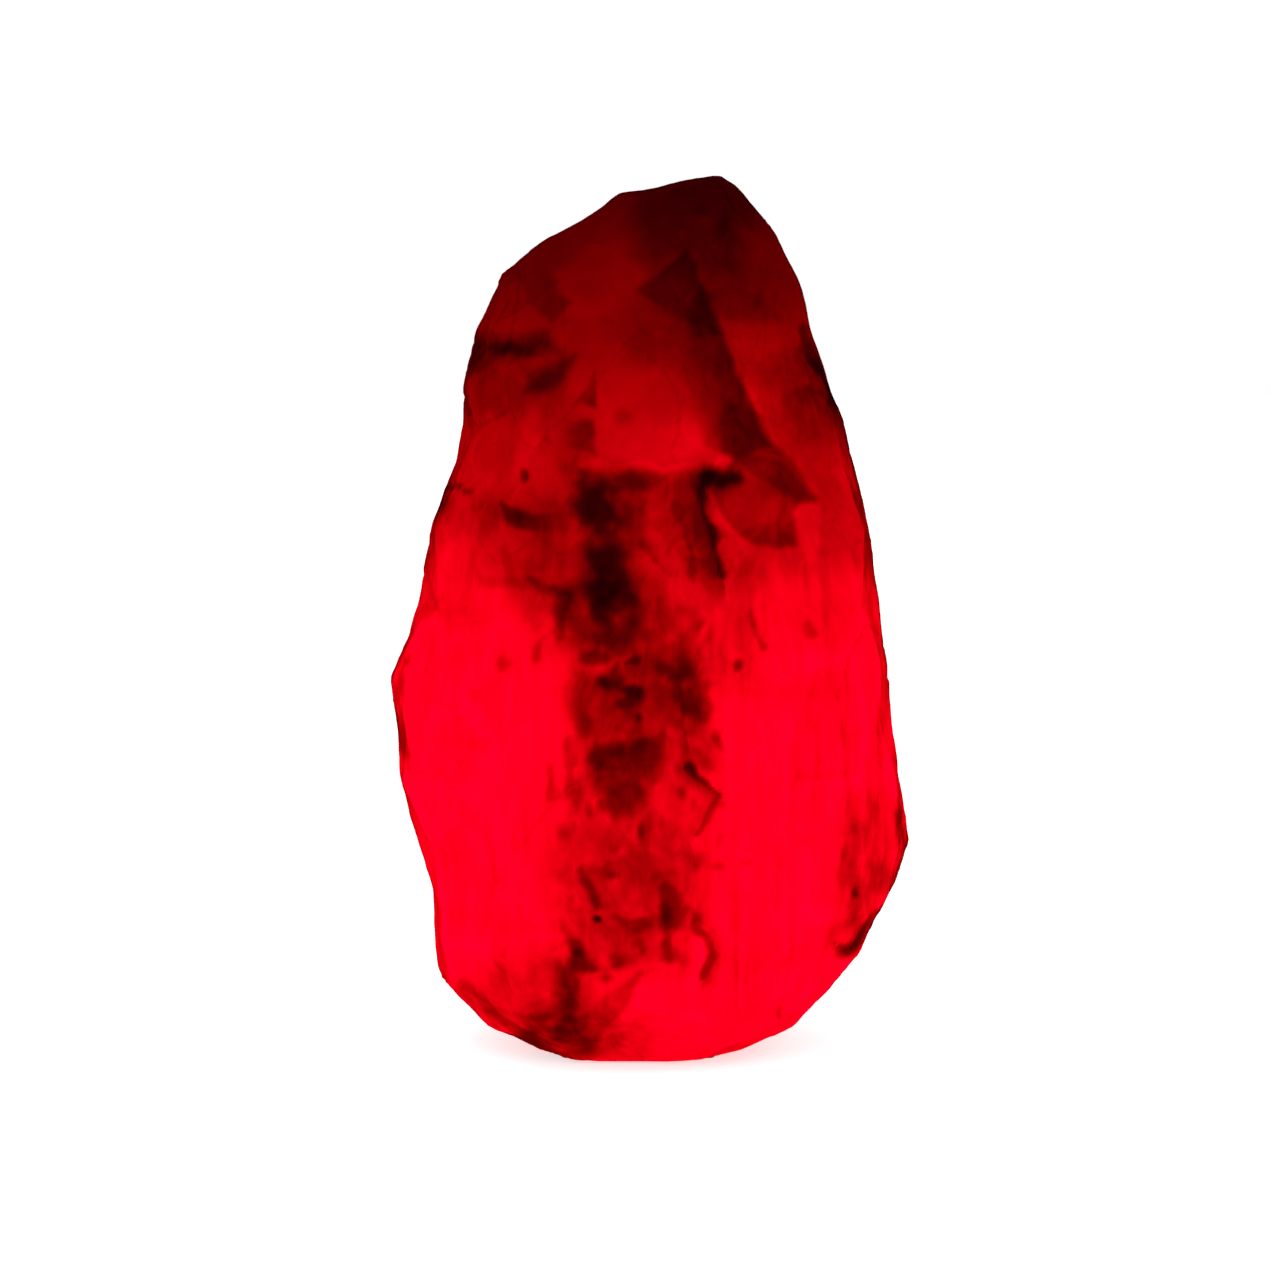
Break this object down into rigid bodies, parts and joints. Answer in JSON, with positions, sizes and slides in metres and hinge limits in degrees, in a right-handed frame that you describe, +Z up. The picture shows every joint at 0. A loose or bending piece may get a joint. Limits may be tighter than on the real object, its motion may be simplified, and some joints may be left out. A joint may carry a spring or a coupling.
{
  "type": "salt crystal lamp",
  "caption": "Rough upright block of rock salt, lit red from a cordless LED unit that sits in a bore drilled up from its sawn foot.",
  "frame": {"origin": "on the table, under the middle of the crystal's bounding box", "axes": "+Z up, the front that the picture shows faces -Y, +X to the picture's right"},
  "size_m": [0.1307, 0.0986, 0.2174],
  "materials": {
    "rock_salt": "matte",
    "pad_rubber": "matte",
    "base_abs": "matte",
    "silicone": "matte",
    "spring_steel": "satin",
    "screw_steel": "satin",
    "ring_steel": "polished",
    "button_silicone": "matte",
    "switch_plastic": "satin",
    "socket_steel": "satin",
    "flap_rubber": "matte",
    "clear_acrylic": "gloss",
    "circuit_board": "satin",
    "chip_resin": "matte",
    "column_nylon": "matte",
    "contact_nickel": "satin",
    "cell_sleeve": "satin",
    "column_aluminium": "satin",
    "led_board": "satin",
    "led_package": "gloss",
    "lead_sleeve": "satin",
    "diffuser_polycarbonate": "satin"
  },
  "bodies": {
    "crystal": {"salt_crystal": "rock_salt", "foot_pads": "pad_rubber"},
    "light_unit": {"base_plate": "base_abs", "base_gasket": "silicone", "spring_clips": "spring_steel", "base_screws": "screw_steel", "switch_body": "switch_plastic", "charging_socket": "socket_steel", "flap_pin": "screw_steel", "light_pipe": "clear_acrylic", "charging_board": "circuit_board", "board_chips": "chip_resin", "column_foot": "column_nylon", "negative_contact": "contact_nickel", "cell_spring": "contact_nickel", "battery_cell": "cell_sleeve", "positive_contact": "contact_nickel", "column_plug": "column_nylon", "led_column": "column_aluminium", "led_strips": "led_board", "column_leds": "led_package", "top_board": "led_board", "top_leds": "led_package", "top_screws": "screw_steel", "board_leads": "lead_sleeve", "diffuser": "diffuser_polycarbonate"},
    "pull_ring": {"pull_ring": "ring_steel"},
    "power_button": {"power_button": "button_silicone", "switch_plunger": "switch_plastic"},
    "socket_flap": {"socket_flap": "flap_rubber"}
  },
  "joints": [
    {"name": "unit_slide", "type": "slide", "parent": "crystal", "child": "light_unit", "axis": [0, 0, -1], "range_m": [0, 0.112]},
    {"name": "ring_swing", "type": "hinge", "parent": "light_unit", "child": "pull_ring", "pos_m": [-0.003, 0, 0.0024], "axis": [-1, 0, 0], "range_deg": [0, 90]},
    {"name": "button_press", "type": "slide", "parent": "light_unit", "child": "power_button", "axis": [0, 0, 1], "range_m": [0, 0.0005], "stiffness_N_per_m": 1500},
    {"name": "flap_swing", "type": "hinge", "parent": "light_unit", "child": "socket_flap", "pos_m": [-0.003, 0.0101, 0.00255], "axis": [1, 0, 0], "range_deg": [0, 100]}
  ]
}
